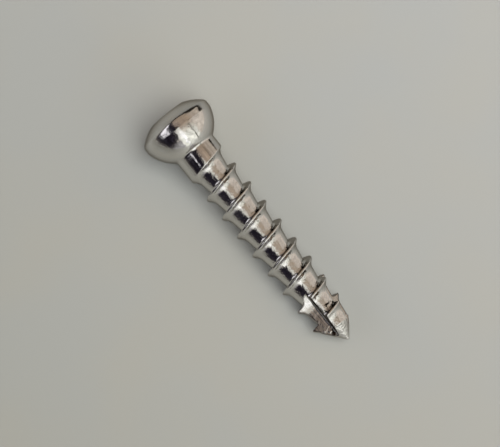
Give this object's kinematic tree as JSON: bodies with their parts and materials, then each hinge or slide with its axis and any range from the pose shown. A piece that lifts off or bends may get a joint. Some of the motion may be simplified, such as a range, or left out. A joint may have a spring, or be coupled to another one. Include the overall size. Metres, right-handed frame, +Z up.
{
  "type": "cortical bone screw",
  "caption": "Self-tapping bone screw with a round-seated hex-socket head, short plain neck, coarse buttress thread and a fluted conical point.",
  "frame": {"origin": "point on the floor below the centre of the screw's bounding box, with the screw lying on its side", "axes": "+X from head to tip along the lying screw, +Y across it, +Z up"},
  "size_m": [0.022, 0.006, 0.006],
  "materials": {
    "steel": "electropolished implant steel"
  },
  "bodies": {
    "root": {"bone_screw": "steel"}
  },
  "joints": []
}
